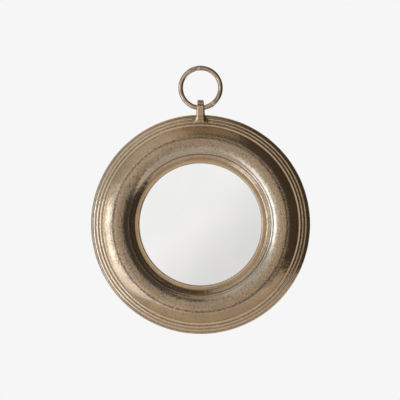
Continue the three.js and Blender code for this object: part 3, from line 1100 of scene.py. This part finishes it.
screws = {
    "board": {
        "head": 3.2, "shank": 1.5, "root": 1.12, "length": 12.0, "pitch": 1.3, "taper": 2.4,
        "recess": 1.55, "recessDepth": 1.5, "cone": 2.0},
    "clip": {
        "head": 3.0, "shank": 1.5, "root": 1.12, "length": 7.0, "pitch": 1.1, "taper": 1.5,
        "recess": 1.3, "recessDepth": 1.1, "dome": 1.8, "headEdge": 0.55, "seat": 5.94},
    "lead": 0.2,
    "step": 0.16,
    "sides": 36,
    # the thread fades over these lengths at its two ends, down to the least depth at the tip
    "runIn": 0.8,
    "runOut": 1.5,
    "leastThread": 0.12,
    # the cross recess stands out above the head by this much, and tapers between these shares
    "recessOver": 0.6,
    "recessTaper": (1.15, 0.45),
    "recessWing": 0.34,
}


def crossRecess(size, depth, top):
    # a tapered cross, cut into the head from the wall's side
    tools = []
    levels = (top - screws["recessOver"], top + depth)
    for turn in (0, math.pi / 2):
        sections = []
        for level, share in zip(levels, screws["recessTaper"]):
            long, wide = size * share, screws["recessWing"] * size * (0.6 + 0.4 * share)
            corners = [(-long, -wide), (long, -wide), (long, wide), (-long, wide)]
            sections.append([(
                x * math.cos(turn) - y * math.sin(turn), x * math.sin(turn) + y * math.cos(turn), level)
                for x, y in corners])
        tools.append(lofted("recess", sections))
    return combined(tools[0], tools[1], "UNION")


def threaded(piece, low, high, shank, root, pitch):
    # cuts a thread that runs out towards the head and the tip
    mesh = piece.data
    points = places(mesh)
    radius = np.hypot(points[:, 0], points[:, 1])
    turn = np.arctan2(points[:, 0], points[:, 1]) / (2 * math.pi)
    phase = np.mod(points[:, 2] / pitch - turn, 1.0)
    crest = np.clip(1.6 * (1 - np.abs(2 * phase - 1) * 1.5), 0, 1)
    run = np.clip((points[:, 2] - low) / screws["runIn"], 0, 1)
    run = run * np.clip((high - points[:, 2]) / screws["runOut"], screws["leastThread"], 1)
    wanted = np.minimum(radius, root + (shank - root) * crest * run)
    inside = (points[:, 2] > low) & (radius <= shank + 0.01) & (radius > 0.05)
    share = np.where(inside, wanted / np.maximum(radius, 1e-6), 1.0)
    points[:, :2] *= share[:, None]
    move(mesh, points)


def screwMesh(size, head, top, underHead, tip):
    # the head's outline goes on into a shank with a thread, a tapered tip and a cross recess
    start, taper, step = underHead + screws["lead"], tip - size["taper"], screws["step"]
    shank, taperRun = size["shank"], size["taper"] + screws["lead"]
    profile = head + [(shank, underHead)]
    profile += [(shank, h) for h in np.arange(start, taper, step)]
    profile += [(shank * (tip - h) / taperRun, h) for h in np.arange(taper, tip - 0.1, step)]
    profile += [(0, tip)]
    piece = lathe("screwBlank", profile, evenAngles(screws["sides"]))
    threaded(piece, start, tip, shank, size["root"], size["pitch"])
    return combined(piece, crossRecess(size["recess"], size["recessDepth"], top), "DIFFERENCE")


def boardScrewMesh():
    s = screws["board"]
    head = [(0, 0.05), (s["head"] - 0.9, 0.0), (s["head"] - 0.25, 0.02), (s["head"], 0.2)]
    return screwMesh(s, head, 0.0, s["cone"], s["length"])


def clipScrewMesh():
    s = screws["clip"]
    seat, edge = s["seat"], s["headEdge"]
    top = seat - s["dome"]
    head = [(0, top)]
    head += [
        (s["head"] * math.sin(t), seat - edge - (s["dome"] - edge) * math.cos(t) ** 0.8)
        for t in np.linspace(0.15, math.pi / 2 - 0.02, 12)]
    head += [(s["head"], seat - 0.1), (s["head"] - 0.1, seat)]
    return screwMesh(s, head, top, seat, seat + s["length"])


def placeScrews(blank, name, node, post):
    for index, (angle, x, y) in enumerate(aroundCircle(post["count"], post["circle"]), 1):
        piece = bpy.data.objects.new(f"{name}{index}", blank.data.copy())
        scene.collection.objects.link(piece)
        # each screw was driven until it was tight, so its cross stands its own way
        turn = Matrix.Rotation(2.4 * index + angle, 4, "Z")
        piece.data.transform(Matrix.Translation((x, y, 0)) @ turn)
        finished(piece, zincSteel, "frame", [f"{node}_{index}"], 35)
    discard(blank)


def dressCadNodes():
    # the felt ring and the clips are shown as the solids are
    for name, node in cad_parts.items():
        if name == "glass_gasket" or name.startswith("glass_clip"):
            look = greyFelt if name == "glass_gasket" else springSteel
            node.data.materials.clear()
            node.data.materials.append(look)


frameCasting()
print("frame casting built")
hangingRing()
print("hanging ring built")
mirrorGlass()
backBoard()
print("glass and back board built")
placeScrews(boardScrewMesh(), "boardScrew", "board_screw", posts["board"])
placeScrews(clipScrewMesh(), "clipScrew", "clip_screw", posts["clip"])
dressCadNodes()
print("screws, clips and gasket dressed")


studio = {
    "background": 0.922,
    "lamps": {
        "keyStrip": {"turn": -58, "rise": -5, "away": 4.0, "size": (0.95, 2.5), "radiance": 2.8},
        "sideWash": {"turn": -84, "rise": -8, "away": 4.0, "size": (2.4, 3.6), "radiance": 0.35},
        "lowFill": {"turn": -47, "rise": -34, "away": 1.25, "size": (0.85, 0.42), "radiance": 1.35},
    },
    "lampColour": (0.76, 0.94, 1.32),
    # soft areas of the room's light: turn and rise of the middle, half width and half height,
    # softness (all in degrees) and radiance
    "panels": {
        "behindCamera": (-6, 0, 29.5, 27.5, 4, 0.76),
        "keyWing": (-56, -8, 12, 26, 5, 1.3),
        "upperLeft": (-44, 42, 32, 19, 7, 0.66),
        "left": (-75, 0, 50, 70, 10, 0.30),
        "overhead": (-40, 80, 78, 24, 8, 0.35),
        "rearRight": (165, 10, 30, 60, 12, 0.75),
        "rearLeft": (-150, 10, 40, 60, 25, 0.55),
        "low": (0, -75, 180, 46, 4, 0.84),
    },
    "room": 0.11,
    # the room is warm, except ahead of the mirror and on the side of the window
    "roomColour": (1.0, 0.93, 0.82, 1),
    "plain": ((-3, -10, 40, 50, 25, 1.0), (1.0, 0.99, 0.975, 1)),
    "window": ((-70, -5, 30, 55, 20, 1.0), (0.88, 0.98, 1.09, 1)),
    # the room falls off towards the lower right: where the fall starts and ends, and its strengths
    "fall": (-0.12, 0.34, 1.04, 0.84),
    "floor": {
        "depth": -0.85,
        "radius": 1.5,
        "rings": 12,
        "sides": 96,
        "dark": (0.80, 0.80, 0.80, 1),
        "light": (0.83, 0.83, 0.83, 1),
        "tarnish": {"Drift": 1.3, "Cloud": 6.0},
        "roughness": 0.8,
        "specular": 0.2,
        # how far the floor takes on the background, everywhere and then over these distances
        "lift": 0.55,
        "fade": (0.5, 1.7),
    },
}

panelInputs = {
    "Turn": 0.0, "Rise": 0.0, "Middle Turn": 0.0, "Middle Rise": 0.0, "Half Width": 10.0,
    "Half Height": 10.0, "Softness": 10.0, "Radiance": 1.0}


def makeSoftPanel():
    group, given, made = newGroup("softPanel", panelInputs, ("Light",))
    off = calc(group, "SUBTRACT", given["Turn"], given["Middle Turn"])
    off = calc(group, "ABSOLUTE", calc(group, "WRAP", off, 180.0, -180.0))
    up = calc(group, "SUBTRACT", given["Rise"], given["Middle Rise"])
    up = calc(group, "ABSOLUTE", up)
    light = given["Radiance"]
    for away, half in ((off, "Half Width"), (up, "Half Height")):
        end = calc(group, "ADD", given[half], given["Softness"])
        light = times(group, light, ranged(group, away, given[half], end, 1.0, 0.0))
    feed(group, made["Light"], light)
    return group


def panelLight(tree, group, *values):
    return placed(tree, group, **dict(zip(panelInputs, values)))["Light"]


def grey(value):
    return (value, value, value, 1)


def roomLight():
    world = bpy.data.worlds.new("studioRoom")
    scene.world = world
    world.use_nodes = True
    tree = world.node_tree
    tree.nodes.clear()
    way = put(tree, "SeparateXYZ", {"Vector": put(tree, "TexCoord").outputs["Generated"]}).outputs
    turn = calc(tree, "DEGREES", calc(tree, "ARCTAN2", way["X"], times(tree, way["Y"], -1.0)))
    rise = calc(tree, "DEGREES", calc(tree, "ARCSINE", way["Z"]))
    panel = makeSoftPanel()
    panels = (panelLight(tree, panel, turn, rise, *values) for values in studio["panels"].values())
    total = calc(tree, "ADD", largest(tree, 0.0, *panels), studio["room"])
    colour = studio["roomColour"]
    for values, tint in (studio["plain"], studio["window"]):
        colour = blended(tree, panelLight(tree, panel, turn, rise, *values), colour, tint)
    slope = times(tree, calc(tree, "SUBTRACT", way["X"], way["Z"]), math.sqrt(0.5))
    total = times(tree, total, ranged(tree, slope, *studio["fall"]))
    room = put(tree, "Background", {"Color": colour, "Strength": total})
    seen = put(tree, "Background", {"Color": grey(studio["background"]), "Strength": 1.0})
    camera = put(tree, "LightPath").outputs["Is Camera Ray"]
    mixed = put(tree, "MixShader", {0: camera, 1: room.outputs[0], 2: seen.outputs[0]})
    put(tree, "OutputWorld", {"Surface": mixed.outputs[0]})


def lamp(name, values):
    turn, rise = math.radians(values["turn"]), math.radians(values["rise"])
    way = Vector((math.sin(turn) * math.cos(rise), -math.cos(turn) * math.cos(rise), math.sin(rise)))
    data = bpy.data.lights.new(name, "AREA")
    data.shape = "RECTANGLE"
    data.size, data.size_y = values["size"]
    data.energy = values["radiance"] * math.pi * data.size * data.size_y
    data.color = studio["lampColour"]
    light = bpy.data.objects.new(name, data)
    light.location = way * values["away"]
    light.rotation_euler = way.to_track_quat("Z", "Y").to_euler()
    light.visible_camera = False
    scene.collection.objects.link(light)


def paleFloorMaterial():
    # the floor shows shadows near the object and runs out into the background
    look, shade = studio["floor"], grey(studio["background"])
    material, tree, shader = newMaterial("paleFloor")
    surfaced(tree, shader, toned(tree, look), look["roughness"])
    shader.inputs["Specular IOR Level"].default_value = look["specular"]
    where = objectAxes(tree)
    fade = ranged(tree, hypotenuse(tree, where["X"], where["Y"]), *look["fade"])
    rays = put(tree, "LightPath").outputs
    seen = largest(
        tree, rays["Is Camera Ray"], rays["Is Transmission Ray"], rays["Is Glossy Ray"])
    background = put(tree, "Emission", {"Color": shade, "Strength": 1.0})
    lift = put(tree, "Emission", {"Color": shade, "Strength": seen})
    lifted = put(tree, "MixShader", {0: look["lift"], 1: shader.outputs[0], 2: lift.outputs[0]})
    sockets = {0: times(tree, fade, seen), 1: lifted.outputs[0], 2: background.outputs[0]}
    mixed = put(tree, "MixShader", sockets)
    feed(tree, tree.nodes["Material Output"].inputs["Surface"], mixed.outputs[0])
    return material


def studioFloor():
    look, sides = studio["floor"], studio["floor"]["sides"]
    points, faces = [(0, 0, 0)], [[0, 1 + j, 1 + (j + 1) % sides] for j in range(sides)]
    for i in range(look["rings"]):
        reach = look["radius"] * (i + 1) / look["rings"]
        points += [(reach * math.cos(a), reach * math.sin(a), 0) for a in evenAngles(sides)]
    for i in range(look["rings"] - 1):
        for j in range(sides):
            a, b = 1 + i * sides + j, 1 + i * sides + (j + 1) % sides
            faces.append([a, a + sides, b + sides, b])
    floor = newPiece("studioFloor", points, faces)
    floor.location.z = look["depth"]
    floor.data.materials.append(paleFloorMaterial())


roomLight()
for lampName, lampValues in studio["lamps"].items():
    lamp(lampName, lampValues)
studioFloor()
print("studio lit")


cameraView = {"side": -0.0008, "rise": 0.0334, "away": 2.515, "lens": 164.6}


def photoCamera():
    data = bpy.data.cameras.new("photoCamera")
    data.lens = cameraView["lens"]
    camera = bpy.data.objects.new("photoCamera", data)
    camera.location = (cameraView["side"], -cameraView["away"], cameraView["rise"])
    camera.rotation_euler = (math.pi / 2, 0, 0)
    scene.collection.objects.link(camera)
    scene.camera = camera


photoCamera()
scene.view_settings.view_transform = "Standard"
